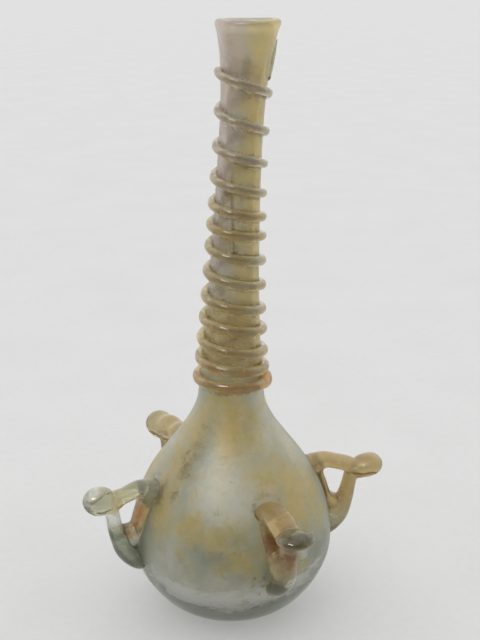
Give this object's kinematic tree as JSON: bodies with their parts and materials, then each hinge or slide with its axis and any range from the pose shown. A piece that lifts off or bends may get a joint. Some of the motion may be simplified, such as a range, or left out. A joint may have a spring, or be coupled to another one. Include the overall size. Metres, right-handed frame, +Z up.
{
  "type": "glass unguentarium",
  "caption": "Squat round glass flask with a long slim neck wound in a spiral glass trail, a flaring mouth and four folded trail handles.",
  "frame": {"origin": "centre of the flat underside", "axes": "+Z up along the neck, -Y through the front handle, +X to the side that the neck leans towards"},
  "size_m": [0.1302, 0.1293, 0.2399],
  "materials": {
    "vessel": "weathered translucent glass, ochre and milky patina",
    "neck_thread": "translucent amber-brown trail with dirt in its grooves",
    "handle_left": "clear grey-green trail, ochre at its root",
    "handle_front": "translucent olive trail, brown dirt in its folds",
    "handle_right": "translucent ochre trail",
    "handle_back": "translucent ochre trail"
  },
  "bodies": {
    "root": {"vessel": "vessel", "neck_thread": "neck_thread", "handle_left": "handle_left", "handle_front": "handle_front", "handle_right": "handle_right", "handle_back": "handle_back"}
  },
  "joints": []
}
